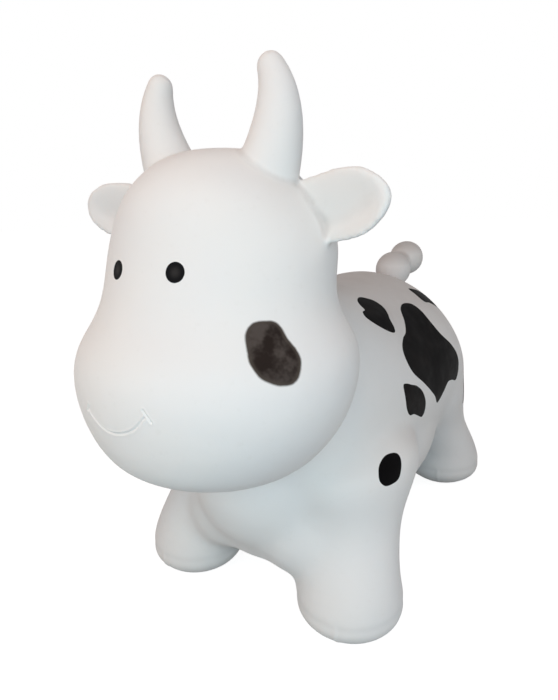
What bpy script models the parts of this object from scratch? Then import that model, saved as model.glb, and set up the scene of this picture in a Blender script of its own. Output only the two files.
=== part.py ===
"""Hop-on cow for a small child: one moulded vinyl body full of air, and the plug of its air valve.

The cow faces -Y and stands on the plane z = 0, alike on both sides of x = 0. All lengths are in metres.
The body is closed round its air, so it is modelled as its outer form, with the valve sunk into it.
"""

import math

import bmesh
import bpy
from mathutils import Matrix, Vector

# Moulded body
TRUNK_CELL = 0.0060
SKIN_CELL = 0.0042
CUT_OVERRUN = 0.010
CLEARANCE = 0.0003

# Head, from the chin to the crown
HEAD_BOTTOM_Z = 0.1740
HEAD_HEIGHT = 0.2815
HEAD_CENTRE_Y = -0.2015
HEAD_HALF_WIDTH = 0.1200
HEAD_HALF_DEPTH = 0.1150

# Torso, from the breast to the rump
TORSO_FRONT_Y = -0.1840
TORSO_LENGTH = 0.4420
TORSO_CENTRE_Z = 0.1820
TORSO_HALF_WIDTH = 0.1270
TORSO_HALF_HEIGHT = 0.1340

# Legs
FOOT_X = 0.0990
FRONT_FOOT_Y = -0.1415
REAR_FOOT_Y = 0.2010
FOOT_RADIUS = 0.0547
ANKLE_RADIUS = 0.0520
FRONT_HIP_X = 0.0700
REAR_HIP_X = 0.0605
HIP_Z = 0.1400
HIP_HALF_WIDTH = 0.0730
HIP_HALF_LENGTH = 0.0950
FRONT_HIP_Y = -0.0810
REAR_HIP_Y = 0.1580
SOLE_RADIUS = 0.0385
SOLE_THICKNESS = 0.0040
BRISKET_X = 0.0500
BRISKET_Y = -0.1420
BRISKET_Z = 0.0900
BRISKET_RADIUS = 0.0490

# Horns
HORN_ROOT = (0.0460, -0.1900, 0.4300)
HORN_BEND = (0.0700, -0.1918, 0.4785)
HORN_TIP = (0.0557, -0.1920, 0.5080)
HORN_ROOT_RADIUS = 0.0260
HORN_TIP_RADIUS = 0.0110

# Ears
EAR_ROOT = (0.0800, -0.1790, 0.4040)
EAR_TIP = (0.1550, -0.2030, 0.4150)
EAR_HALF_WIDTH = 0.0270
EAR_HALF_THICKNESS = 0.0090
EAR_CUP = 0.0085

# Tail, its knob placed from its root and its tip from its knob
TAIL_ROOT_Y = 0.2210
TAIL_ROOT_Z = 0.2800
TAIL_ROOT_RADIUS = 0.0250
TAIL_KNOB_BACK = 0.0140
TAIL_KNOB_UP = 0.0300
TAIL_KNOB_RADIUS = 0.0270
TAIL_TIP_BACK = 0.0605
TAIL_TIP_UP = 0.0120
TAIL_TIP_RADIUS = 0.0270
TAIL_NECK_RADIUS = 0.0200

# Air valve, in the underside of the belly
VALVE_Y = 0.0250
RECESS_RADIUS = 0.0125
RECESS_DEPTH = 0.0030
BORE_RADIUS = 0.0050
BORE_MARGIN = 0.0040

# Inflation plug
FLANGE_THICKNESS = 0.0022
FLANGE_MARGIN = 0.0020
PLUG_LENGTH = 0.0210
RIB_COUNT = 3
RIB_HEIGHT = 0.0007
PLUG_TAPER = 0.0010

# Facets
STEPS_PER_STATION = 4
BODY_SIDES = 40
LIMB_SIDES = 28
ROUND_SIDES = 32
SKIN_KEPT_SHARE = 0.070
TRUNK_PASSES = 24
SKIN_PASSES = 5

# Shares of each station of the head: height, half width, half depth, and lean forward in half depths
HEAD_SHARES = (
    (0.000, 0.29, 0.28, -0.10),
    (0.035, 0.52, 0.50, 0.01),
    (0.120, 0.80, 0.82, 0.07),
    (0.260, 1.01, 0.95, 0.08),
    (0.420, 1.05, 1.00, 0.03),
    (0.570, 0.86, 0.83, -0.02),
    (0.740, 0.83, 0.80, -0.12),
    (0.870, 0.66, 0.71, -0.11),
    (0.960, 0.43, 0.52, -0.13),
    (1.000, 0.24, 0.24, -0.12),
)

# Shares of each station of the torso: way along, half width, half height, and rise in half heights
TORSO_SHARES = (
    (0.00, 0.34, 0.50, -0.28),
    (0.04, 0.62, 0.78, -0.21),
    (0.14, 0.82, 0.93, -0.06),
    (0.32, 0.92, 1.00, 0.00),
    (0.52, 0.98, 1.00, 0.01),
    (0.72, 1.03, 0.98, 0.04),
    (0.88, 0.97, 0.81, -0.09),
    (0.97, 0.73, 0.58, -0.06),
    (1.00, 0.34, 0.30, -0.04),
)

# Shares of each station of a leg: height, way from the foot to the hip, and the parts that the foot,
# the ankle and the hip have in its width and length
LEG_SHARES = (
    (-0.025, 0.00, 0.52, 0.00, 0.00),
    (0.000, 0.00, 0.64, 0.00, 0.00),
    (0.035, 0.00, 0.80, 0.00, 0.00),
    (0.090, 0.00, 0.95, 0.00, 0.00),
    (0.180, 0.00, 1.07, 0.00, 0.00),
    (0.400, 0.06, 0.00, 1.00, 0.00),
    (0.700, 0.44, 0.00, 0.82, 0.18),
    (0.900, 0.82, 0.00, 0.45, 0.58),
    (1.050, 1.00, 0.00, 0.00, 1.00),
    (1.200, 1.00, 0.00, 0.00, 0.92),
    (1.350, 1.00, 0.00, 0.00, 0.50),
)

# Shares of each station of an ear: way along, half width, half thickness
EAR_SHARES = (
    (0.00, 0.97, 1.20),
    (0.25, 0.99, 1.10),
    (0.50, 1.00, 1.00),
    (0.72, 0.90, 0.85),
    (0.88, 0.64, 0.70),
    (0.96, 0.38, 0.50),
    (1.00, 0.14, 0.20),
)

ACROSS = Vector((1, 0, 0))
BACK = Vector((0, 1, 0))
UP = Vector((0, 0, 1))

VINYL_WHITE = (0.80, 0.80, 0.79, 1.0)
PLUG_WHITE = (0.72, 0.72, 0.70, 1.0)


def clear_scene():
    """Empty the file of its objects."""
    for item in list(bpy.data.objects):
        bpy.data.objects.remove(item, do_unlink=True)


def material(name, colour, roughness):
    """A plain plastic surface."""
    made = bpy.data.materials.new(name)
    made.use_nodes = True
    shader = made.node_tree.nodes["Principled BSDF"]
    shader.inputs["Base Color"].default_value = colour
    shader.inputs["Roughness"].default_value = roughness
    shader.inputs["Metallic"].default_value = 0.0
    return made


def spline(rows, steps):
    """Rows of numbers on a smooth curve through the given rows, with some steps from one to the next."""
    first = [2 * a - b for a, b in zip(rows[0], rows[1])]
    last = [2 * a - b for a, b in zip(rows[-1], rows[-2])]
    knots = [first, *rows, last]
    smooth = []
    for before, start, end, after in zip(knots, knots[1:], knots[2:], knots[3:]):
        for step in range(steps):
            t = step / steps
            row = []
            for a, b, c, d in zip(before, start, end, after):
                second = 2 * a - 5 * b + 4 * c - d
                third = 3 * b - 3 * c + d - a
                row.append(b + ((c - a) * t + second * t ** 2 + third * t ** 3) / 2)
            smooth.append(row)
    smooth.append(list(rows[-1]))
    return smooth


def ring(centre, across, up, half_across, half_up, sides, cup=0.0):
    """Points of an ellipse, bent by cup so that its two ends come forward."""
    points = []
    for index in range(sides):
        turn = math.tau * index / sides
        sideways = half_across * math.cos(turn)
        upward = half_up * math.sin(turn) + cup * (math.cos(turn) ** 2 - 1 / 2)
        points.append(centre + across * sideways + up * upward)
    return points


def loft(mesh, rings):
    """A closed skin through rings of points, added to a bmesh."""
    loops = [[mesh.verts.new(point) for point in points] for points in rings]
    faces = [mesh.faces.new(loops[0]), mesh.faces.new(list(reversed(loops[-1])))]
    for lower, upper in zip(loops, loops[1:]):
        for index in range(len(lower)):
            after = (index + 1) % len(lower)
            faces.append(mesh.faces.new((lower[index], upper[index], upper[after], lower[after])))
    bmesh.ops.recalc_face_normals(mesh, faces=faces)


def add_head(mesh):
    """The pear-shaped head, a stack of level ellipses."""
    rings = []
    for height, width, depth, lean in spline(HEAD_SHARES, STEPS_PER_STATION):
        y = HEAD_CENTRE_Y - lean * HEAD_HALF_DEPTH
        centre = Vector((0, y, HEAD_BOTTOM_Z + height * HEAD_HEIGHT))
        half_width = width * HEAD_HALF_WIDTH
        half_depth = depth * HEAD_HALF_DEPTH
        rings.append(ring(centre, ACROSS, BACK, half_width, half_depth, BODY_SIDES))
    loft(mesh, rings)


def add_torso(mesh):
    """The barrel of the body, a row of upright ellipses."""
    rings = []
    for way, width, height, rise in spline(TORSO_SHARES, STEPS_PER_STATION):
        z = TORSO_CENTRE_Z + rise * TORSO_HALF_HEIGHT
        centre = Vector((0, TORSO_FRONT_Y + way * TORSO_LENGTH, z))
        half_width = width * TORSO_HALF_WIDTH
        half_height = height * TORSO_HALF_HEIGHT
        rings.append(ring(centre, ACROSS, UP, half_width, half_height, BODY_SIDES))
    loft(mesh, rings)


def add_leg(mesh, side, foot_y, hip_x, hip_y):
    """A stout leg, from its rounded foot to the wide hip inside the torso."""
    rings = []
    foot = Vector((side * FOOT_X, foot_y, 0))
    hip = Vector((side * hip_x, hip_y, 0))
    for height, way, of_foot, of_ankle, of_hip in spline(LEG_SHARES, STEPS_PER_STATION):
        round_part = of_foot * FOOT_RADIUS + of_ankle * ANKLE_RADIUS
        half_width = round_part + of_hip * HIP_HALF_WIDTH
        half_length = round_part + of_hip * HIP_HALF_LENGTH
        centre = foot.lerp(hip, way) + UP * (height * HIP_Z)
        rings.append(ring(centre, ACROSS, BACK, half_width, half_length, LIMB_SIDES))
    loft(mesh, rings)


def mirrored(point, side):
    """A point of the cow's left half, or its twin on the right."""
    return Vector((side * point[0], point[1], point[2]))


def add_horn(mesh, side):
    """A horn on an arc from its root to its round tip."""
    root = mirrored(HORN_ROOT, side)
    bend = mirrored(HORN_BEND, side)
    tip = mirrored(HORN_TIP, side)
    stations = []
    for step in range(BODY_SIDES // 4 + 1):
        t = step / (BODY_SIDES // 4)
        centre = root.lerp(bend, t).lerp(bend.lerp(tip, t), t)
        stations.append((centre, HORN_ROOT_RADIUS + (HORN_TIP_RADIUS - HORN_ROOT_RADIUS) * t))
    heading = (tip - bend).normalized()
    tip_radius = stations[-1][1]
    for turn in (math.radians(25), math.radians(50), math.radians(75)):
        stations.append((tip + heading * (tip_radius * math.sin(turn)), tip_radius * math.cos(turn)))
    rings = []
    for index, (centre, radius) in enumerate(stations):
        before = stations[max(index - 1, 0)][0]
        after = stations[min(index + 1, len(stations) - 1)][0]
        along = (after - before).normalized()
        across = along.cross(BACK).normalized()
        rings.append(ring(centre, across, across.cross(along), radius, radius, LIMB_SIDES))
    loft(mesh, rings)


def add_ear(mesh, side):
    """An ear, a leaf whose long edges curl forward."""
    root = mirrored(EAR_ROOT, side)
    tip = mirrored(EAR_TIP, side)
    along = (tip - root).normalized()
    across = along.cross(BACK).normalized()
    forward = across.cross(along)
    if forward.y > 0:
        forward = -forward
    rings = []
    for way, width, thickness in spline(EAR_SHARES, STEPS_PER_STATION):
        centre = root.lerp(tip, way)
        half_width = width * EAR_HALF_WIDTH
        half_thickness = thickness * EAR_HALF_THICKNESS
        cup = width * EAR_CUP
        rings.append(ring(centre, across, forward, half_width, half_thickness, LIMB_SIDES, cup))
    loft(mesh, rings)


def add_ball(mesh, x, y, z, radius):
    """A round lobe of the brisket or of the tail."""
    place = Matrix.Translation((x, y, z))
    bmesh.ops.create_uvsphere(
        mesh, u_segments=LIMB_SIDES, v_segments=LIMB_SIDES // 2, radius=radius, matrix=place
    )


def trunk_shapes():
    """The closed lofts of the head, torso and legs, with the brisket and the root of the tail."""
    mesh = bmesh.new()
    add_head(mesh)
    add_torso(mesh)
    for side in (1, -1):
        add_leg(mesh, side, FRONT_FOOT_Y, FRONT_HIP_X, FRONT_HIP_Y)
        add_leg(mesh, side, REAR_FOOT_Y, REAR_HIP_X, REAR_HIP_Y)
        add_ball(mesh, side * BRISKET_X, BRISKET_Y, BRISKET_Z, BRISKET_RADIUS)
    add_ball(mesh, 0, TAIL_ROOT_Y, TAIL_ROOT_Z, TAIL_ROOT_RADIUS)
    return mesh


def trim_shapes():
    """The closed lofts of the horns, ears and tail."""
    mesh = bmesh.new()
    for side in (1, -1):
        add_horn(mesh, side)
        add_ear(mesh, side)
    knob_y = TAIL_ROOT_Y + TAIL_KNOB_BACK
    knob_z = TAIL_ROOT_Z + TAIL_KNOB_UP
    add_ball(mesh, 0, knob_y, knob_z, TAIL_KNOB_RADIUS)
    add_ball(mesh, 0, knob_y + TAIL_TIP_BACK / 2, knob_z + TAIL_TIP_UP / 2, TAIL_NECK_RADIUS)
    add_ball(mesh, 0, knob_y + TAIL_TIP_BACK, knob_z + TAIL_TIP_UP, TAIL_TIP_RADIUS)
    return mesh


def put(name, mesh, surface=None):
    """An object from a bmesh."""
    data = bpy.data.meshes.new(name)
    mesh.to_mesh(data)
    mesh.free()
    made = bpy.data.objects.new(name, data)
    bpy.context.scene.collection.objects.link(made)
    if surface:
        data.materials.append(surface)
    return made


def guide(made):
    """Mark an object as a cutter, which is no piece of the cow."""
    made.hide_render = True
    made.display_type = "WIRE"
    return made


def combine(made, name, other, operation):
    """Cut another solid away, or fuse it."""
    step = made.modifiers.new(name, "BOOLEAN")
    step.operation = operation
    step.solver = "EXACT"
    step.object = other


def melt(made, cell, passes):
    """Melt overlapping shapes into one even skin, and round its creases."""
    merge = made.modifiers.new("melt", "REMESH")
    merge.mode = "VOXEL"
    merge.voxel_size = cell
    merge.use_smooth_shade = True
    soften = made.modifiers.new("soften", "SMOOTH")
    soften.factor = 0.5
    soften.iterations = passes


def cylinders(name, places, radius, bottom, top):
    """Equal upright cylinders on the given axes, as one cutter."""
    mesh = bmesh.new()
    for x, y in places:
        bmesh.ops.create_cone(
            mesh,
            cap_ends=True,
            segments=ROUND_SIDES,
            radius1=radius,
            radius2=radius,
            depth=top - bottom,
            matrix=Matrix.Translation((x, y, (bottom + top) / 2)),
        )
    return guide(put(name, mesh))


def belly_z():
    """The height of the torso's underside at the valve."""
    way = (VALVE_Y - TORSO_FRONT_Y) / TORSO_LENGTH
    stations = spline(TORSO_SHARES, STEPS_PER_STATION)
    for lower, upper in zip(stations, stations[1:]):
        if lower[0] <= way <= upper[0]:
            part = (way - lower[0]) / (upper[0] - lower[0])
            height = lower[2] + (upper[2] - lower[2]) * part
            rise = lower[3] + (upper[3] - lower[3]) * part
            return TORSO_CENTRE_Z + (rise - height) * TORSO_HALF_HEIGHT
    return TORSO_CENTRE_Z - TORSO_HALF_HEIGHT


def moulded_body(surface):
    """The whole cow in one, with wide rounds at its legs and head and tight ones at its ears and horns."""
    trunk = guide(put("trunk", trunk_shapes()))
    melt(trunk, TRUNK_CELL, TRUNK_PASSES)
    body = put("moulded_body", trim_shapes(), surface)
    combine(body, "trunk", trunk, "UNION")
    body.modifiers["trunk"].use_self = True
    melt(body, SKIN_CELL, SKIN_PASSES)
    thin = body.modifiers.new("thin", "DECIMATE")
    thin.ratio = SKIN_KEPT_SHARE
    thin.use_symmetry = True
    thin.symmetry_axis = "X"
    reach = TORSO_LENGTH * 2
    floor = bmesh.new()
    bmesh.ops.create_cube(floor, size=reach, matrix=Matrix.Translation((0, 0, -reach / 2)))
    combine(body, "floor", guide(put("floor", floor)), "DIFFERENCE")
    feet = [(side * FOOT_X, y) for side in (1, -1) for y in (FRONT_FOOT_Y, REAR_FOOT_Y)]
    soles = cylinders("soles", feet, SOLE_RADIUS, 0, SOLE_THICKNESS)
    combine(body, "soles", soles, "UNION")
    valve = [(0, VALVE_Y)]
    seat = belly_z() + RECESS_DEPTH
    recess = cylinders("recess", valve, RECESS_RADIUS, seat - CUT_OVERRUN, seat)
    bore = cylinders("bore", valve, BORE_RADIUS, seat - CLEARANCE, seat + PLUG_LENGTH + BORE_MARGIN)
    combine(body, "recess", recess, "DIFFERENCE")
    combine(body, "bore", bore, "DIFFERENCE")


def inflation_plug(surface):
    """The plug, turned about its own axis: a low domed flange and a shaft with soft ribs."""
    shaft = BORE_RADIUS - RIB_HEIGHT - CLEARANCE
    flange = RECESS_RADIUS - FLANGE_MARGIN
    pitch = PLUG_LENGTH / (RIB_COUNT + 1)
    profile = [
        (0, -FLANGE_THICKNESS),
        (flange * 0.70, -FLANGE_THICKNESS),
        (flange, -FLANGE_THICKNESS / 2),
        (flange, 0),
        (shaft, 0),
    ]
    for rib in range(RIB_COUNT):
        middle = pitch * (rib + 1)
        profile.append((shaft, middle - RIB_HEIGHT))
        profile.append((shaft + RIB_HEIGHT, middle))
        profile.append((shaft, middle + RIB_HEIGHT))
    profile.append((shaft - PLUG_TAPER, PLUG_LENGTH))
    profile.append((0, PLUG_LENGTH))
    mesh = bmesh.new()
    points = [mesh.verts.new((radius, 0, height)) for radius, height in profile]
    edges = [mesh.edges.new(pair) for pair in zip(points, points[1:])]
    bmesh.ops.spin(
        mesh,
        geom=points + edges,
        cent=(0, 0, 0),
        axis=(0, 0, 1),
        angle=math.tau,
        steps=ROUND_SIDES,
        use_merge=True,
    )
    bmesh.ops.remove_doubles(mesh, verts=mesh.verts, dist=CLEARANCE / 10)
    bmesh.ops.recalc_face_normals(mesh, faces=mesh.faces)
    plug = put("inflation_plug", mesh, surface)
    plug.location = (0, VALVE_Y, belly_z() + RECESS_DEPTH - CLEARANCE)
    plug.data.shade_smooth()
    plug.data.set_sharp_from_angle(angle=math.radians(40))


clear_scene()
moulded_body(material("moulded_body", VINYL_WHITE, 0.45))
inflation_plug(material("inflation_plug", PLUG_WHITE, 0.40))
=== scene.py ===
"""Looks of the hop-on cow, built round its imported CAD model."""

import math

import bmesh
import bpy
import numpy as np
from mathutils import Matrix, Vector


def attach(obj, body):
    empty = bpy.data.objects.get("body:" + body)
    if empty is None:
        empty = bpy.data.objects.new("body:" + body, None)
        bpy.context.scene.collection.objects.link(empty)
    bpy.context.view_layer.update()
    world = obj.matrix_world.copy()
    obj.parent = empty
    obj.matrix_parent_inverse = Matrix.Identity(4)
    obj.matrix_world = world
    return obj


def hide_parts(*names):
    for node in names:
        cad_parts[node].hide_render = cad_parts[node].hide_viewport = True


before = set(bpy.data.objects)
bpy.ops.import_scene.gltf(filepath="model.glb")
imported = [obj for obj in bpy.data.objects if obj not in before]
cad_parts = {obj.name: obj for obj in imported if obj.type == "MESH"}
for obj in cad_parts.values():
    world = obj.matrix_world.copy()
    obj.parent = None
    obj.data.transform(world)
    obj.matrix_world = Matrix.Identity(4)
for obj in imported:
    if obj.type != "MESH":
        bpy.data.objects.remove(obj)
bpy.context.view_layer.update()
MM = 0.001

# Camera, in the photograph's frame of 558 by 700 pixels
CAMERA_PLACE = (0.2809, -0.5474, 0.4089)
CAMERA_YAW = 32.39
CAMERA_PITCH = 15.49
CAMERA_ROLL = -1.65
FOCAL_PIXELS = 516.9
FRAME_HEIGHT = 700
SENSOR = 36.0
CLIP_START = 0.01

# Fineness of the skin
TRUNK_CELL = 0.0040
SKIN_CELL = 0.0020
TRUNK_PASSES = 54
SKIN_PASSES = 14
HOLLOW_PASSES = 40

# Head, from the chin to the crown
HEAD_BOTTOM_Z = 0.1740
HEAD_HEIGHT = 0.2815
HEAD_CENTRE_Y = -0.2015
HEAD_HALF_WIDTH = 0.1200
HEAD_HALF_DEPTH = 0.1150

# Torso, from the breast to the rump
TORSO_FRONT_Y = -0.1840
TORSO_LENGTH = 0.4420
TORSO_CENTRE_Z = 0.1820
TORSO_HALF_WIDTH = 0.1270
TORSO_HALF_HEIGHT = 0.1340

# Legs
FOOT_X = 0.0990
FRONT_FOOT_Y = -0.1400
REAR_FOOT_Y = 0.2010
FOOT_RADIUS = 0.0540
ANKLE_RADIUS = 0.0508
FRONT_HIP_X = 0.0700
REAR_HIP_X = 0.0605
HIP_Z = 0.1400
HIP_HALF_WIDTH = 0.0730
HIP_HALF_LENGTH = 0.0950
FRONT_HIP_Y = -0.0810
REAR_HIP_Y = 0.1580
BRISKET_X = 0.0450
BRISKET_Y = -0.1420
BRISKET_Z = 0.0885
BRISKET_RADIUS = 0.0475

# Fullness of the breast and of the flanks: centre, and half sizes across, along and up
BREAST = ((0.0000, -0.1450, 0.1285), (0.0740, 0.0640, 0.0665))
FLANK = ((0.0640, 0.0300, 0.1250), (0.0600, 0.1350, 0.0640))

# Horns
HORN_ROOT = (0.0460, -0.1900, 0.4300)
HORN_BEND = (0.0700, -0.1918, 0.4785)
HORN_TIP = (0.0557, -0.1920, 0.5080)
HORN_ROOT_RADIUS = 0.0260
HORN_TIP_RADIUS = 0.0110

# Ears
EAR_ROOT = (0.0800, -0.1790, 0.4040)
EAR_TIP = (0.1535, -0.2030, 0.4150)
EAR_HALF_WIDTH = 0.0262
EAR_HALF_THICKNESS = 0.0090
EAR_CUP = 0.0085
EAR_DISH = 0.50
VALLEY_WIDTH = 0.50

# Tail
TAIL_ROOT_Y = 0.2210
TAIL_ROOT_Z = 0.2800
TAIL_ROOT_RADIUS = 0.0250
TAIL_KNOB_BACK = 0.0140
TAIL_KNOB_UP = 0.0300
TAIL_KNOB_RADIUS = 0.0270
TAIL_TIP_BACK = 0.0605
TAIL_TIP_UP = 0.0120
TAIL_TIP_RADIUS = 0.0270
TAIL_NECK_RADIUS = 0.0160

# Air valve and plug
VALVE_Y = 0.0250
VALVE_SEAT_Z = 0.0516
RECESS_RADIUS = 0.0125
BORE_RADIUS = 0.0050
BORE_DEPTH = 0.0250

RECESS_OVERRUN = 0.0200
BORE_OVERLAP = 0.0010

# Counts of sides and of steps between stations
BODY_SIDES = 72
LIMB_SIDES = 48
BALL_RINGS = 24
CUTTER_SIDES = 96
STEPS = 8
HORN_STEPS = 16
HORN_TIP_TURNS = (15, 30, 45, 60, 75)
SHARP_ANGLE = 50

# Bands round each foot: height, width, and how far they stand out
FOOT_BANDS = (
    (0.0290, 0.0040, -0.0006),
    (0.0170, 0.0070, 0.0005),
    (0.0060, 0.0020, -0.0010),
)
FOOT_TOP_Z = 0.0500
SOLE_EDGE_Z = 0.0005

# The mould's seam on the feet
SEAM_X = 0.1080
SEAM_WIDTH = 0.0020
SEAM_HEIGHT = 0.0010
SEAM_TOP_Z = 0.0340
SEAM_FADE = 0.0060

# Stations of the head: height, half width, half depth, lean forward
HEAD_SHARES = (
    (0.000, 0.29, 0.28, -0.10),
    (0.035, 0.52, 0.50, 0.01),
    (0.120, 0.80, 0.82, 0.07),
    (0.260, 1.01, 0.95, 0.08),
    (0.420, 1.05, 1.00, 0.03),
    (0.570, 0.86, 0.83, -0.02),
    (0.740, 0.83, 0.80, -0.12),
    (0.870, 0.66, 0.71, -0.11),
    (0.960, 0.43, 0.52, -0.13),
    (1.000, 0.24, 0.24, -0.12),
)

# Stations of the torso: way along, half width, half height, rise
TORSO_SHARES = (
    (0.00, 0.34, 0.50, -0.28),
    (0.04, 0.62, 0.78, -0.21),
    (0.14, 0.82, 0.90, -0.04),
    (0.32, 0.92, 1.00, 0.00),
    (0.52, 0.98, 1.00, 0.01),
    (0.72, 1.03, 0.98, 0.04),
    (0.88, 0.97, 0.81, -0.09),
    (0.97, 0.73, 0.58, -0.06),
    (1.00, 0.34, 0.30, -0.04),
)

# Stations of a leg: height, way to the hip, and the parts of the foot, ankle and hip
LEG_SHARES = (
    (-0.025, 0.00, 0.50, 0.00, 0.00),
    (0.000, 0.00, 0.62, 0.00, 0.00),
    (0.035, 0.00, 0.80, 0.00, 0.00),
    (0.090, 0.00, 0.95, 0.00, 0.00),
    (0.180, 0.00, 1.04, 0.00, 0.00),
    (0.400, 0.06, 0.00, 1.00, 0.00),
    (0.700, 0.50, 0.00, 0.80, 0.18),
    (0.900, 0.82, 0.00, 0.45, 0.58),
    (1.050, 1.00, 0.00, 0.00, 1.00),
    (1.200, 1.00, 0.00, 0.00, 0.92),
    (1.350, 1.00, 0.00, 0.00, 0.50),
)

# Stations of an ear: way along, half width, half thickness, and how deep and how high its valley lies
EAR_SHARES = (
    (0.00, 0.97, 1.20, 0.8, -0.55),
    (0.25, 0.99, 1.10, 1.0, -0.50),
    (0.50, 1.00, 1.00, 1.0, -0.40),
    (0.72, 0.90, 0.85, 0.8, -0.20),
    (0.88, 0.64, 0.70, 0.3, -0.10),
    (0.96, 0.38, 0.50, 0.0, -0.10),
    (1.00, 0.14, 0.20, 0.0, -0.10),
)

ACROSS = Vector((1, 0, 0))
BACK = Vector((0, 1, 0))
UP = Vector((0, 0, 1))

# Outlines of the painted patches, in millimetres: towards the tail, and up the body
OUTLINES = {
    "bean": [
        (-6, 22), (1, 26), (10, 27), (19, 21), (25, 14), (27, 2), (22, -8), (16, -15), (11, -26),
        (4, -30), (-8, -23), (-19, -10), (-23, 1), (-19, 8), (-12, 9), (-10, 16),
    ],
    "map": [
        (-15, 57), (0, 61), (16, 57), (24, 45), (28, 27), (38, 7), (60, -13), (76, -30), (80, -46),
        (68, -61), (48, -56), (33, -54), (20, -61), (0, -69), (-11, -58), (-22, -49), (-43, -32),
        (-66, -13), (-73, 4), (-70, 18), (-57, 27), (-44, 31), (-30, 42), (-23, 50),
    ],
    "pebble": [
        (-23, 24), (-15, 24), (-3, 19), (9, 14), (22, 4), (31, -10), (31, -22), (23, -28), (8, -21),
        (-4, -15), (-16, -12), (-22, -3), (-23, 9),
    ],
    "oval": [
        (-9, 10), (2, 13), (12, 12), (20, 8), (20, 2), (13, -6), (5, -12), (-5, -12), (-14, -9),
        (-18, -2), (-15, 5),
    ],
    "cheek": [
        (-15, 13), (-11, 21), (-4, 25), (4, 24), (12, 20), (15, 13), (15, 5), (17, -5), (16, -13),
        (9, -22), (1, -25), (-7, -22), (-13, -17), (-18, -10), (-19, 1),
    ],
}

# Black patches: outline, place, the way that it faces, turn in degrees, and size
PATCHES = (
    ("bean", (0.0685, -0.0120, 0.2905), (0.62, -0.05, 0.78), 0, 1.0),
    ("map", (0.1073, 0.0607, 0.2374), (0.915, -0.063, 0.40), 0, 1.0),
    ("pebble", (0.1176, -0.0121, 0.1968), (0.99, -0.085, 0.12), 0, 1.0),
    ("oval", (0.1288, -0.1171, 0.1632), (0.81, -0.30, 0.50), 0, 1.0),
    ("pebble", (0.0810, 0.1250, 0.2890), (0.65, 0.05, 0.76), 0, 0.75),
    ("pebble", (0.1300, 0.1850, 0.1520), (0.97, 0.20, 0.07), 100, 0.75),
    ("map", (-0.1080, 0.0250, 0.2300), (-0.91, -0.02, 0.41), 165, 0.9),
    ("pebble", (-0.0840, 0.1300, 0.2750), (-0.70, 0.10, 0.70), 40, 1.2),
    ("oval", (-0.1300, 0.1650, 0.1500), (-0.97, 0.15, 0.20), 60, 1.2),
    ("bean", (-0.1150, -0.0750, 0.2100), (-0.95, -0.15, 0.25), 120, 1.0),
    ("pebble", (-0.0350, 0.2480, 0.1950), (-0.25, 0.95, 0.10), 20, 1.2),
)
CHEEK = ("cheek", (0.0945, -0.2608, 0.3117), (0.73, -0.53, 0.43), 0, 1.0)

EYES = ((0.0273, -0.2799, 0.3668), (-0.0320, -0.2787, 0.3661))
EYE_RADIUS = 0.0075

# The smile, pressed into the muzzle: across and height, then the short tick at each end
SMILE = (
    (0.0251, 0.2718), (0.0166, 0.2630), (0.0081, 0.2578), (-0.0007, 0.2547), (-0.0111, 0.2533),
    (-0.0205, 0.2550), (-0.0276, 0.2584), (-0.0339, 0.2624), (-0.0376, 0.2662),
)
TICKS = (((0.0243, 0.2772), (0.0302, 0.2692)), ((-0.0367, 0.2692), (-0.0398, 0.2640)))
GROOVE_DEPTH = 0.0009
GROOVE_HALF_WIDTH = 0.00065
LIP_SHARE = 0.25
LIP_AWAY = 0.0018
LIP_HALF_WIDTH = 0.0007
REFINED_REACHES = (0.0060, 0.0040)
MUZZLE_Y = -0.29
MUZZLE_HALF_WIDTH = 0.05
MUZZLE_BOTTOM_Z = 0.24
MUZZLE_TOP_Z = 0.30

# How far from its place a patch is looked for, and the furthest distance kept, in millimetres
PATCH_REACH = 0.110
PATCH_DEPTH = 0.045
FARTHEST = 8.0

# Painted shade on the saddle: where it starts behind the head, and how level the skin is there
SADDLE_START_Y = -0.09
SADDLE_FADE = 0.10
SADDLE_SLOPE = 0.25
SADDLE_SLOPE_FADE = 0.50

# Colours
VINYL = (0.80, 0.80, 0.79, 1)
VINYL_COOL = (0.785, 0.79, 0.79, 1)
SPECK = (0.74, 0.735, 0.72, 1)
# Painted shade in the creases and hollows of the skin
CREASE_SHADE = (0.36, 0.35, 0.34, 1)
# Painted shade on the back behind the head, where the skin faces up
SHADE_ON_BACK = (0.54, 0.52, 0.51, 1)
BLACK = (0.003, 0.0027, 0.003, 1)
BLACK_WORN = (0.006, 0.005, 0.005, 1)
BROWN = (0.022, 0.016, 0.014, 1)
BROWN_THIN = (0.075, 0.062, 0.056, 1)
BROWN_RIM = (0.070, 0.058, 0.050, 1)
EYE_RIM = (0.008, 0.008, 0.009, 1)
EYE_MIDDLE = (0.030, 0.028, 0.028, 1)
PLUG_VINYL = (0.70, 0.70, 0.68, 1)
PLUG_WORN = (0.62, 0.62, 0.60, 1)
WHITE = (1, 1, 1, 1)

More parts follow.
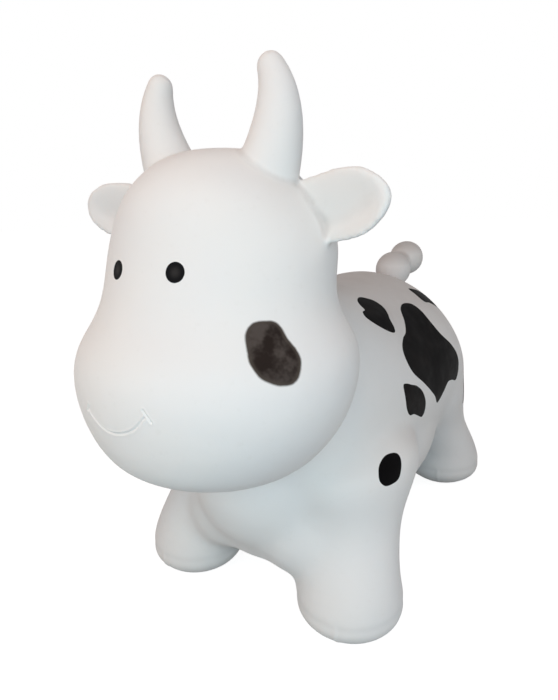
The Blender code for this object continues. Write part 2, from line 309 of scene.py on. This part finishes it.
# Studio: the floor, the surround, and the lamps' place, size, power and colour
FLOOR_HALF_SIZE = 12
FLOOR_GAP = 0.0003
FLOOR_COLOUR = (0.35, 0.35, 0.35, 1)
FLOOR_GLOW = 0.90
SURROUND_COLOUR = (1.0, 0.95, 0.93, 1)
SURROUND_STRENGTH = 0.36
LAMP_TARGET = (0, -0.12, 0.28)
LAMPS = (
    ("near_camera", (0.52, -0.92, 0.50), 0.5, 2.63, (0.73, 0.92, 1.0)),
    ("front", (-0.05, -1.05, 0.50), 0.5, 1.27, (0.78, 0.98, 1.0)),
    ("front_top", (0.15, -0.80, 1.05), 0.5, 2.18, (1.0, 0.62, 0.46)),
    ("right", (0.85, -0.55, 0.45), 0.5, 1.30, (0.76, 0.91, 1.0)),
    ("left_front", (-0.60, -0.90, 0.55), 0.5, 0.71, (1.0, 0.51, 0.34)),
    ("side", (1.30, 0.15, 0.45), 0.7, 1.30, (1.0, 0.90, 0.88)),
    ("low_left", (-0.50, -0.75, 0.14), 0.4, 0.40, (1.0, 0.98, 0.96)),
)


def spline(rows, steps, closed=False):
    """Rows of numbers on a smooth curve through the given rows."""
    if closed:
        knots = [rows[-1], *rows, rows[0], rows[1]]
    else:
        first = [2 * a - b for a, b in zip(rows[0], rows[1])]
        last = [2 * a - b for a, b in zip(rows[-1], rows[-2])]
        knots = [first, *rows, last]
    smooth = []
    for before, start, end, after in zip(knots, knots[1:], knots[2:], knots[3:]):
        for step in range(steps):
            t = step / steps
            row = []
            for a, b, c, d in zip(before, start, end, after):
                second = 2 * a - 5 * b + 4 * c - d
                third = 3 * b - 3 * c + d - a
                row.append(b + ((c - a) * t + second * t**2 + third * t**3) / 2)
            smooth.append(row)
    if not closed:
        smooth.append(list(rows[-1]))
    return smooth


def ring(centre, across, up, half_across, half_up, sides, cup=0.0, dish=0.0, valley=0.0):
    """Points of an ellipse. cup bends its ends forward, and dish sinks a valley into its forward side."""
    points = []
    for index in range(sides):
        turn = math.tau * index / sides
        aside = math.cos(turn)
        rise = half_up * math.sin(turn)
        if rise > 0:
            rise *= 1 - dish * math.exp(-(((aside - valley) / VALLEY_WIDTH) ** 2))
        upward = rise + cup * (aside**2 - 1 / 2)
        points.append(centre + across * (half_across * aside) + up * upward)
    return points


def loft(mesh, rings):
    """A closed skin through rings of points."""
    loops = [[mesh.verts.new(point) for point in points] for points in rings]
    faces = [mesh.faces.new(loops[0]), mesh.faces.new(list(reversed(loops[-1])))]
    for lower, upper in zip(loops, loops[1:]):
        for index in range(len(lower)):
            after = (index + 1) % len(lower)
            corners = (lower[index], upper[index], upper[after], lower[after])
            faces.append(mesh.faces.new(corners))
    bmesh.ops.recalc_face_normals(mesh, faces=faces)


def add_head(mesh):
    """The pear-shaped head."""
    rings = []
    for height, width, depth, lean in spline(HEAD_SHARES, STEPS):
        y = HEAD_CENTRE_Y - lean * HEAD_HALF_DEPTH
        centre = Vector((0, y, HEAD_BOTTOM_Z + height * HEAD_HEIGHT))
        half_width = width * HEAD_HALF_WIDTH
        rings.append(ring(centre, ACROSS, BACK, half_width, depth * HEAD_HALF_DEPTH, BODY_SIDES))
    loft(mesh, rings)


def add_torso(mesh):
    """The barrel of the body."""
    rings = []
    for way, width, height, rise in spline(TORSO_SHARES, STEPS):
        z = TORSO_CENTRE_Z + rise * TORSO_HALF_HEIGHT
        centre = Vector((0, TORSO_FRONT_Y + way * TORSO_LENGTH, z))
        half_width = width * TORSO_HALF_WIDTH
        rings.append(ring(centre, ACROSS, UP, half_width, height * TORSO_HALF_HEIGHT, BODY_SIDES))
    loft(mesh, rings)


def add_leg(mesh, side, foot_y, hip_x, hip_y):
    """A stout leg and the wide hip inside the torso."""
    rings = []
    foot = Vector((side * FOOT_X, foot_y, 0))
    hip = Vector((side * hip_x, hip_y, 0))
    for height, way, of_foot, of_ankle, of_hip in spline(LEG_SHARES, STEPS):
        round_part = of_foot * FOOT_RADIUS + of_ankle * ANKLE_RADIUS
        half_width = round_part + of_hip * HIP_HALF_WIDTH
        half_length = round_part + of_hip * HIP_HALF_LENGTH
        centre = foot.lerp(hip, way) + UP * (height * HIP_Z)
        rings.append(ring(centre, ACROSS, BACK, half_width, half_length, LIMB_SIDES))
    loft(mesh, rings)


def mirrored(point, side):
    """A point of the cow's left half, or its twin on the right."""
    return Vector((side * point[0], point[1], point[2]))


def add_horn(mesh, side):
    """A horn on an arc, with a round tip."""
    root = mirrored(HORN_ROOT, side)
    bend = mirrored(HORN_BEND, side)
    tip = mirrored(HORN_TIP, side)
    stations = []
    for step in range(HORN_STEPS + 1):
        t = step / HORN_STEPS
        centre = root.lerp(bend, t).lerp(bend.lerp(tip, t), t)
        stations.append((centre, HORN_ROOT_RADIUS + (HORN_TIP_RADIUS - HORN_ROOT_RADIUS) * t))
    heading = (tip - bend).normalized()
    for degrees in HORN_TIP_TURNS:
        turn = math.radians(degrees)
        centre = tip + heading * (HORN_TIP_RADIUS * math.sin(turn))
        stations.append((centre, HORN_TIP_RADIUS * math.cos(turn)))
    rings = []
    for index, (centre, radius) in enumerate(stations):
        before = stations[max(index - 1, 0)][0]
        after = stations[min(index + 1, len(stations) - 1)][0]
        along = (after - before).normalized()
        across = along.cross(BACK).normalized()
        rings.append(ring(centre, across, across.cross(along), radius, radius, LIMB_SIDES))
    loft(mesh, rings)


def add_ear(mesh, side):
    """An ear, a dished leaf with a thick rim."""
    root = mirrored(EAR_ROOT, side)
    tip = mirrored(EAR_TIP, side)
    along = (tip - root).normalized()
    upward = (side * along.cross(BACK)).normalized()
    forward = side * along.cross(upward)
    rings = []
    for way, width, thickness, dish, valley in spline(EAR_SHARES, STEPS):
        half_width = width * EAR_HALF_WIDTH
        half_thickness = thickness * EAR_HALF_THICKNESS
        points = ring(
            root.lerp(tip, way), upward, forward, half_width, half_thickness,
            LIMB_SIDES, width * EAR_CUP, dish * EAR_DISH, valley,
        )
        rings.append(points)
    loft(mesh, rings)


def add_ball(mesh, x, y, z, radius):
    """A round lobe of the brisket or of the tail."""
    place = Matrix.Translation((x, y, z))
    bmesh.ops.create_uvsphere(
        mesh, u_segments=LIMB_SIDES, v_segments=BALL_RINGS, radius=radius, matrix=place
    )


def add_swelling(mesh, side, centre, halves):
    """An ellipsoid that fills the body out."""
    shape = Matrix.Translation(mirrored(centre, side)) @ Matrix.Diagonal((*halves, 1))
    bmesh.ops.create_uvsphere(
        mesh, u_segments=LIMB_SIDES, v_segments=BALL_RINGS, radius=1, matrix=shape
    )


def put(name, mesh):
    """An object from a bmesh."""
    data = bpy.data.meshes.new(name)
    mesh.to_mesh(data)
    mesh.free()
    made = bpy.data.objects.new(name, data)
    bpy.context.scene.collection.objects.link(made)
    return made


def settle(made):
    """Apply an object's modifiers."""
    shape = made.evaluated_get(bpy.context.evaluated_depsgraph_get())
    data = bpy.data.meshes.new_from_object(shape)
    made.modifiers.clear()
    old = made.data
    made.data = data
    bpy.data.meshes.remove(old)


def melt(made, cell, passes):
    """Melt overlapping shapes into one even skin, and round its creases."""
    merge = made.modifiers.new("melt", "REMESH")
    merge.mode = "VOXEL"
    merge.voxel_size = cell
    soften = made.modifiers.new("soften", "SMOOTH")
    soften.factor = 0.5
    soften.iterations = passes
    settle(made)


def points_of(data):
    """A mesh's points as an array."""
    found = np.empty(len(data.vertices) * 3)
    data.vertices.foreach_get("co", found)
    return found.reshape(-1, 3)


def normals_of(data):
    """A mesh's point normals as an array."""
    found = np.empty(len(data.vertices) * 3)
    data.vertex_normals.foreach_get("vector", found)
    return found.reshape(-1, 3)


def move_points(data, points):
    """Write a mesh's points back."""
    data.vertices.foreach_set("co", points.ravel())
    data.update()


def bump(distance, width):
    """A round ridge's height, from 1 on its line to 0 some widths away."""
    return np.exp(-((distance / width) ** 2))


def cut_soles(made):
    """Cut the feet flat at the floor."""
    mesh = bmesh.new()
    mesh.from_mesh(made.data)
    geometry = mesh.verts[:] + mesh.edges[:] + mesh.faces[:]
    bmesh.ops.bisect_plane(mesh, geom=geometry, plane_co=(0, 0, 0), plane_no=(0, 0, 1), clear_inner=True)
    rims = [edge for edge in mesh.edges if edge.is_boundary]
    bmesh.ops.holes_fill(mesh, edges=rims, sides=0)
    mesh.to_mesh(made.data)
    mesh.free()


def distance_to_path(points, path):
    """The distance from each point to a line through path, in two dimensions."""
    nearest = np.full(len(points), np.inf)
    for start, end in zip(path, path[1:]):
        start, end = np.array(start), np.array(end)
        run = end - start
        share = np.clip(((points - start) @ run) / (run @ run), 0, 1)
        gap = points - (start + share[:, None] * run)
        nearest = np.minimum(nearest, np.hypot(gap[:, 0], gap[:, 1]))
    return nearest


def smile_paths():
    """The smile and the ticks at its ends, across and up."""
    return [spline(SMILE, 8), *TICKS]


def on_muzzle(place):
    """Whether a point lies on the muzzle."""
    level = MUZZLE_BOTTOM_Z < place.z < MUZZLE_TOP_Z
    return place.y < MUZZLE_Y and abs(place.x) < MUZZLE_HALF_WIDTH and level


def press_smile(made):
    """Refine the muzzle and press the smile's groove into it."""
    mesh = bmesh.new()
    mesh.from_mesh(made.data)
    paths = smile_paths()
    for reach in REFINED_REACHES:
        muzzle = [v for v in mesh.verts if on_muzzle(v.co)]
        places = np.array([(v.co.x, v.co.z) for v in muzzle])
        gaps = np.minimum.reduce([distance_to_path(places, path) for path in paths])
        chosen = {v for v, gap in zip(muzzle, gaps) if gap < reach}
        near = [edge for edge in mesh.edges if edge.verts[0] in chosen and edge.verts[1] in chosen]
        bmesh.ops.subdivide_edges(mesh, edges=near, cuts=1, use_grid_fill=True, smooth=0)
    mesh.to_mesh(made.data)
    mesh.free()
    points = points_of(made.data)
    normals = normals_of(made.data)
    height = points[:, 2]
    front = (points[:, 1] < MUZZLE_Y) & (height > MUZZLE_BOTTOM_Z) & (height < MUZZLE_TOP_Z)
    gaps = np.minimum.reduce([distance_to_path(points[front][:, [0, 2]], path) for path in paths])
    groove = bump(gaps, GROOVE_HALF_WIDTH)
    lip = LIP_SHARE * bump(gaps - LIP_AWAY, LIP_HALF_WIDTH)
    points[front] -= normals[front] * (GROOVE_DEPTH * (groove - lip))[:, None]
    move_points(made.data, points)


def shape_feet(made):
    """The soft bands round each foot, and the mould's seam on it."""
    points = points_of(made.data)
    normals = normals_of(made.data)
    x, z = np.abs(points[:, 0]), points[:, 2]
    level = normals.copy()
    level[:, 2] = 0
    bands = sum(height * bump(z - place, width) for place, width, height in FOOT_BANDS)
    bands *= (z < FOOT_TOP_Z) & (z > SOLE_EDGE_Z) & (np.abs(normals[:, 2]) < 0.9)
    fade = np.clip((SEAM_TOP_Z - z) / SEAM_FADE, 0, 1)
    seam = SEAM_HEIGHT * bump(x - SEAM_X, SEAM_WIDTH) * fade
    seam *= np.abs(normals[:, 1]) > 0.4
    points += level * (bands + seam)[:, None]
    move_points(made.data, points)


def plane_places(points, place, facing, turn):
    """Points in the plane of a painted patch: towards the tail and up, and how far off it."""
    normal = np.array(Vector(facing).normalized())
    along = np.array([0.0, 1.0, 0.0])
    if abs(normal[1]) > 0.8:
        along = np.array([1.0, 0.0, 0.0])
    along -= normal * (along @ normal)
    along /= np.linalg.norm(along)
    upward = np.cross(normal, along)
    if upward[2] < 0:
        upward = -upward
    angle = math.radians(turn)
    first = along * math.cos(angle) + upward * math.sin(angle)
    second = upward * math.cos(angle) - along * math.sin(angle)
    away = points - np.array(place)
    return np.stack([away @ first, away @ second], 1), away @ normal, normal


def inside_outline(places, outline):
    """Which places lie inside a closed outline."""
    inside = np.zeros(len(places), bool)
    for (ax, ay), (bx, by) in zip(outline, outline[1:] + outline[:1]):
        crosses = (ay > places[:, 1]) != (by > places[:, 1])
        level = ax + (places[:, 1] - ay) * (bx - ax) / ((by - ay) or 1e-12)
        inside ^= crosses & (places[:, 0] < level)
    return inside


def patch_distance(points, normals, patch):
    """Signed distance to a patch's edge in millimetres, above 0 inside it."""
    outline, place, facing, turn, size = patch
    corners = [(u * size, v * size) for u, v in OUTLINES[outline]]
    edge = [(u * MM, v * MM) for u, v in spline(corners, 6, closed=True)]
    places, off, normal = plane_places(points, place, facing, turn)
    near = (np.abs(places).max(1) < PATCH_REACH) & (np.abs(off) < PATCH_DEPTH) & (normals @ normal > 0.1)
    found = np.full(len(points), -FARTHEST)
    gap = distance_to_path(places[near], edge + edge[:1])
    sign = np.where(inside_outline(places[near], edge), 1, -1)
    found[near] = np.maximum(gap * sign / MM, -FARTHEST)
    return found


def store(data, name, values):
    """Keep a number for each point of a mesh."""
    layer = data.attributes.new(name, "FLOAT", "POINT")
    layer.data.foreach_set("value", values.astype(np.float32))


def mark_hollows(made):
    """Store how hollow the skin is at each point, in millimetres against a smoothed copy."""
    copy = put("smoothed", bmesh.new())
    copy.data = made.data.copy()
    soften = copy.modifiers.new("soften", "SMOOTH")
    soften.factor = 0.5
    soften.iterations = HOLLOW_PASSES
    settle(copy)
    away = points_of(copy.data) - points_of(made.data)
    bpy.data.objects.remove(copy)
    store(made.data, "hollow", (away * normals_of(made.data)).sum(1) / MM)


def paint(made):
    """Store how far each point lies inside the patches, the cheek patch and the eyes, and how much painted
    shade the saddle gets.
    """
    data = made.data
    points = points_of(data)
    normals = normals_of(data)
    patches = [patch_distance(points, normals, patch) for patch in PATCHES]
    store(data, "patches", np.maximum.reduce(patches))
    store(data, "cheek", patch_distance(points, normals, CHEEK))
    eyes = np.full(len(points), -FARTHEST)
    for centre in EYES:
        gap = EYE_RADIUS - np.linalg.norm(points - np.array(centre), axis=1)
        eyes = np.maximum(eyes, np.maximum(gap / MM, -FARTHEST))
    store(data, "eyes", eyes)
    # Painted shade on the back behind the head, stronger where the skin faces up
    behind = np.clip((points[:, 1] - SADDLE_START_Y) / SADDLE_FADE, 0, 1)
    upward = np.clip((normals[:, 2] - SADDLE_SLOPE) / SADDLE_SLOPE_FADE, 0, 1)
    store(data, "saddle", behind * upward)


def cylinder(name, radius, bottom, top):
    """An upright cutter on the valve's axis."""
    mesh = bmesh.new()
    middle = Matrix.Translation((0, VALVE_Y, (bottom + top) / 2))
    bmesh.ops.create_cone(
        mesh, cap_ends=True, segments=CUTTER_SIDES, radius1=radius, radius2=radius,
        depth=top - bottom, matrix=middle,
    )
    return put(name, mesh)


def cut(made, cutter):
    """Cut a solid away, and throw the cutter away."""
    step = made.modifiers.new("cut", "BOOLEAN")
    step.operation = "DIFFERENCE"
    step.solver = "EXACT"
    step.object = cutter
    settle(made)
    bpy.data.objects.remove(cutter)


def melted_head():
    """The head by itself, so that its rim stays crisp over the neck."""
    mesh = bmesh.new()
    add_head(mesh)
    head = put("head", mesh)
    melt(head, TRUNK_CELL, TRUNK_PASSES)
    return head


def melted_trunk():
    """The torso, the legs and the root of the tail."""
    mesh = bmesh.new()
    add_torso(mesh)
    for side in (1, -1):
        add_leg(mesh, side, FRONT_FOOT_Y, FRONT_HIP_X, FRONT_HIP_Y)
        add_leg(mesh, side, REAR_FOOT_Y, REAR_HIP_X, REAR_HIP_Y)
        add_ball(mesh, side * BRISKET_X, BRISKET_Y, BRISKET_Z, BRISKET_RADIUS)
        add_swelling(mesh, side, *FLANK)
    add_swelling(mesh, 1, *BREAST)
    add_ball(mesh, 0, TAIL_ROOT_Y, TAIL_ROOT_Z, TAIL_ROOT_RADIUS)
    trunk = put("vinyl_skin", mesh)
    melt(trunk, TRUNK_CELL, TRUNK_PASSES)
    return trunk


def add_tail(mesh):
    """The tail's knob, neck and tip."""
    knob_y = TAIL_ROOT_Y + TAIL_KNOB_BACK
    knob_z = TAIL_ROOT_Z + TAIL_KNOB_UP
    add_ball(mesh, 0, knob_y, knob_z, TAIL_KNOB_RADIUS)
    add_ball(mesh, 0, knob_y + TAIL_TIP_BACK / 2, knob_z + TAIL_TIP_UP / 2, TAIL_NECK_RADIUS)
    add_ball(mesh, 0, knob_y + TAIL_TIP_BACK, knob_z + TAIL_TIP_UP, TAIL_TIP_RADIUS)


def cut_valve(made):
    """Cut the round recess into the belly, and the blind bore above it."""
    cut(made, cylinder("recess", RECESS_RADIUS, VALVE_SEAT_Z - RECESS_OVERRUN, VALVE_SEAT_Z))
    cut(made, cylinder("bore", BORE_RADIUS, VALVE_SEAT_Z - BORE_OVERLAP, VALVE_SEAT_Z + BORE_DEPTH))


def build_skin():
    """The whole moulded body as one fine skin."""
    head = melted_head()
    skin = melted_trunk()
    mesh = bmesh.new()
    mesh.from_mesh(skin.data)
    mesh.from_mesh(head.data)
    bpy.data.objects.remove(head)
    for side in (1, -1):
        add_horn(mesh, side)
        add_ear(mesh, side)
    add_tail(mesh)
    mesh.to_mesh(skin.data)
    mesh.free()
    melt(skin, SKIN_CELL, SKIN_PASSES)
    cut_soles(skin)
    cut_valve(skin)
    shape_feet(skin)
    mark_hollows(skin)
    press_smile(skin)
    paint(skin)
    skin.data.shade_smooth()
    skin.data.set_sharp_from_angle(angle=math.radians(SHARP_ANGLE))
    return skin


class Nodes:
    """Short calls for a material's nodes."""

    def __init__(self, name):
        self.material = bpy.data.materials.new(name)
        self.material.use_nodes = True
        self.tree = self.material.node_tree
        self.shader = self.tree.nodes["Principled BSDF"]

    def add(self, kind, **settings):
        node = self.tree.nodes.new("ShaderNode" + kind)
        for key, value in settings.items():
            setattr(node, key, value)
        return node

    def link(self, source, target):
        self.tree.links.new(source, target)

    def noise(self, scale, detail=3.0, rough=0.5):
        place = self.add("TexCoord")
        found = self.add("TexNoise")
        found.inputs["Scale"].default_value = scale
        found.inputs["Detail"].default_value = detail
        found.inputs["Roughness"].default_value = rough
        self.link(place.outputs["Object"], found.inputs["Vector"])
        return found.outputs["Fac"]

    def ramp(self, source, low, high, to_low=0.0, to_high=1.0, smooth=True):
        found = self.add("MapRange")
        if smooth:
            found.interpolation_type = "SMOOTHSTEP"
        for key, value in (("From Min", low), ("From Max", high), ("To Min", to_low), ("To Max", to_high)):
            found.inputs[key].default_value = value
        self.link(source, found.inputs["Value"])
        return found.outputs["Result"]

    def number(self, name):
        found = self.add("Attribute", attribute_type="GEOMETRY", attribute_name=name)
        return found.outputs["Fac"]

    def math(self, operation, first, second):
        found = self.add("Math", operation=operation)
        for socket, value in zip(found.inputs, (first, second)):
            if isinstance(value, float):
                socket.default_value = value
            else:
                self.link(value, socket)
        return found.outputs["Value"]

    def mix(self, share, first, second):
        found = self.add("Mix", data_type="RGBA")
        self.link(share, found.inputs["Factor"])
        for socket, value in ((found.inputs[6], first), (found.inputs[7], second)):
            if isinstance(value, tuple):
                socket.default_value = value
            else:
                self.link(value, socket)
        return found.outputs[2]

    def bump(self, height, distance, strength=1.0, normal=None):
        found = self.add("Bump")
        found.inputs["Strength"].default_value = strength
        found.inputs["Distance"].default_value = distance
        self.link(height, found.inputs["Height"])
        if normal:
            self.link(normal, found.inputs["Normal"])
        return found.outputs["Normal"]


def vinyl_material():
    """Satin white vinyl with sprayed and printed paint, and painted shade in its creases and on its back
    behind the head.
    """
    n = Nodes("painted_vinyl")
    base = n.mix(n.ramp(n.noise(9.0, 2.0), 0.35, 0.65), VINYL, VINYL_COOL)
    base = n.mix(n.ramp(n.noise(160.0, 4.0), 0.60, 0.75, 0.0, 0.25), base, SPECK)
    # Painted shade: the skin turns darker where it is hollow, in its creases
    base = n.mix(n.ramp(n.number("hollow"), 0.15, 1.2, 0.0, 0.40), base, CREASE_SHADE)
    # Painted shade on the back behind the head, mottled by noise
    back_shade_share = n.math("MULTIPLY", n.number("saddle"), n.ramp(n.noise(14.0, 4.0), 0.3, 0.7, 0.60, 0.80))
    base = n.mix(back_shade_share, base, SHADE_ON_BACK)
    cheek = n.math("ADD", n.number("cheek"), n.ramp(n.noise(120.0, 3.0), 0.0, 1.0, -0.7, 0.7, False))
    cheek_share = n.ramp(cheek, -0.9, 1.1)
    mottle = n.mix(n.ramp(n.noise(60.0, 3.0, 0.6), 0.38, 0.66), BROWN, BROWN_THIN)
    rim = n.mix(n.ramp(cheek, 0.5, 4.0), BROWN_RIM, mottle)
    base = n.mix(cheek_share, base, rim)
    edge = n.math("ADD", n.number("patches"), n.ramp(n.noise(400.0, 2.0), 0.0, 1.0, -0.15, 0.15, False))
    patch_share = n.ramp(edge, -0.20, 0.20)
    black = n.mix(n.ramp(n.noise(45.0, 3.0), 0.40, 0.70), BLACK, BLACK_WORN)
    base = n.mix(patch_share, base, black)
    eye_share = n.ramp(n.number("eyes"), -0.25, 0.25)
    eye = n.mix(n.ramp(n.number("eyes"), 1.5, 7.0), EYE_RIM, EYE_MIDDLE)
    base = n.mix(eye_share, base, eye)
    n.link(base, n.shader.inputs["Base Color"])
    paint_share = n.math("MAXIMUM", patch_share, eye_share)
    rough = n.ramp(n.noise(60.0, 4.0), 0.3, 0.7, 0.44, 0.54)
    rough = n.math("ADD", rough, n.math("MULTIPLY", paint_share, 0.04))
    n.link(rough, n.shader.inputs["Roughness"])
    fine = n.bump(n.noise(1800.0, 3.0), 0.00006)
    broad = n.bump(n.noise(24.0, 2.0), 0.0012, 1.0, fine)
    step = n.bump(paint_share, 0.00008, 1.0, broad)
    n.link(step, n.shader.inputs["Normal"])
    n.shader.inputs["IOR"].default_value = 1.50
    n.shader.inputs["Specular IOR Level"].default_value = 0.02
    n.shader.inputs["Subsurface Weight"].default_value = 0.12
    n.shader.inputs["Subsurface Radius"].default_value = (1.0, 0.85, 0.75)
    n.shader.inputs["Subsurface Scale"].default_value = 0.004
    return n.material


def plug_material():
    """Stiffer, slightly grey vinyl."""
    n = Nodes("plug_vinyl")
    base = n.mix(n.ramp(n.noise(300.0, 3.0), 0.4, 0.7), PLUG_VINYL, PLUG_WORN)
    n.link(base, n.shader.inputs["Base Color"])
    n.link(n.ramp(n.noise(500.0), 0.3, 0.7, 0.34, 0.44), n.shader.inputs["Roughness"])
    n.link(n.bump(n.noise(2500.0), 0.00005), n.shader.inputs["Normal"])
    return n.material


def is_seen(tree):
    """1 for the rays that show the background: from the camera, a mirror or glass."""
    path = tree.nodes.new("ShaderNodeLightPath")
    total = None
    for name in ("Is Camera Ray", "Is Glossy Ray", "Is Transmission Ray"):
        if total is None:
            total = path.outputs[name]
            continue
        step = tree.nodes.new("ShaderNodeMath")
        step.operation = "MAXIMUM"
        tree.links.new(total, step.inputs[0])
        tree.links.new(path.outputs[name], step.inputs[1])
        total = step.outputs[0]
    return total


def build_floor():
    """A pale floor that keeps the shadow, and is clear from below."""
    mesh = bmesh.new()
    below_soles = Matrix.Translation((0, 0, -FLOOR_GAP))
    bmesh.ops.create_grid(mesh, x_segments=1, y_segments=1, size=FLOOR_HALF_SIZE, matrix=below_soles)
    floor = put("floor", mesh)
    pale = bpy.data.materials.new("pale_floor")
    pale.use_nodes = True
    tree = pale.node_tree
    shader = tree.nodes["Principled BSDF"]
    shader.inputs["Base Color"].default_value = FLOOR_COLOUR
    shader.inputs["Roughness"].default_value = 1.0
    shader.inputs["Specular IOR Level"].default_value = 0.0
    glow = tree.nodes.new("ShaderNodeEmission")
    glow.inputs["Color"].default_value = WHITE
    glow.inputs["Strength"].default_value = FLOOR_GLOW
    dark = tree.nodes.new("ShaderNodeEmission")
    dark.inputs["Strength"].default_value = 0.0
    choose = tree.nodes.new("ShaderNodeMixShader")
    both = tree.nodes.new("ShaderNodeAddShader")
    tree.links.new(is_seen(tree), choose.inputs[0])
    tree.links.new(dark.outputs[0], choose.inputs[1])
    tree.links.new(glow.outputs[0], choose.inputs[2])
    tree.links.new(shader.outputs[0], both.inputs[0])
    tree.links.new(choose.outputs[0], both.inputs[1])
    face = tree.nodes.new("ShaderNodeNewGeometry")
    clear = tree.nodes.new("ShaderNodeBsdfTransparent")
    open_below = tree.nodes.new("ShaderNodeMixShader")
    tree.links.new(face.outputs["Backfacing"], open_below.inputs[0])
    tree.links.new(both.outputs[0], open_below.inputs[1])
    tree.links.new(clear.outputs[0], open_below.inputs[2])
    tree.links.new(open_below.outputs[0], tree.nodes["Material Output"].inputs["Surface"])
    floor.data.materials.append(pale)


def build_surround():
    """A soft light from all round, behind which the camera sees white."""
    world = bpy.data.worlds.new("white_room")
    bpy.context.scene.world = world
    world.use_nodes = True
    tree = world.node_tree
    soft = tree.nodes["Background"]
    soft.inputs["Color"].default_value = SURROUND_COLOUR
    soft.inputs["Strength"].default_value = SURROUND_STRENGTH
    white = tree.nodes.new("ShaderNodeBackground")
    white.inputs["Color"].default_value = WHITE
    white.inputs["Strength"].default_value = 1.0
    choose = tree.nodes.new("ShaderNodeMixShader")
    tree.links.new(is_seen(tree), choose.inputs[0])
    tree.links.new(soft.outputs[0], choose.inputs[1])
    tree.links.new(white.outputs[0], choose.inputs[2])
    tree.links.new(choose.outputs[0], tree.nodes["World Output"].inputs["Surface"])


def build_lamps():
    """Plain soft round lamps."""
    target = Vector(LAMP_TARGET)
    for name, place, size, power, colour in LAMPS:
        data = bpy.data.lights.new(name, "AREA")
        data.shape = "DISK"
        data.size = size
        data.energy = power
        data.color = colour
        lamp = bpy.data.objects.new(name, data)
        lamp.location = place
        lamp.rotation_euler = (target - Vector(place)).to_track_quat("-Z", "Y").to_euler()
        bpy.context.scene.collection.objects.link(lamp)


def build_camera():
    """The photograph's camera."""
    yaw, pitch, roll = (math.radians(a) for a in (CAMERA_YAW, CAMERA_PITCH, CAMERA_ROLL))
    ahead = Vector((-math.sin(yaw) * math.cos(pitch), math.cos(yaw) * math.cos(pitch), -math.sin(pitch)))
    right = Vector((math.cos(yaw), math.sin(yaw), 0))
    upward = right.cross(ahead)
    right, upward = (
        right * math.cos(roll) + upward * math.sin(roll),
        upward * math.cos(roll) - right * math.sin(roll),
    )
    data = bpy.data.cameras.new("photo_camera")
    data.sensor_width = SENSOR
    data.lens = FOCAL_PIXELS / FRAME_HEIGHT * SENSOR
    data.clip_start = CLIP_START
    camera = bpy.data.objects.new("photo_camera", data)
    turn = Matrix((right, upward, -ahead)).transposed().to_4x4()
    camera.matrix_world = Matrix.Translation(CAMERA_PLACE) @ turn
    bpy.context.scene.collection.objects.link(camera)
    bpy.context.scene.camera = camera


build_camera()
build_floor()
build_surround()
build_lamps()
skin = build_skin()
skin.data.materials.clear()
skin.data.materials.append(vinyl_material())
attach(skin, "cow")
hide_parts("moulded_body")

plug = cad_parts["inflation_plug"]
for slot in plug.material_slots:
    slot.material = plug_material()

bpy.context.scene.view_settings.view_transform = "Standard"
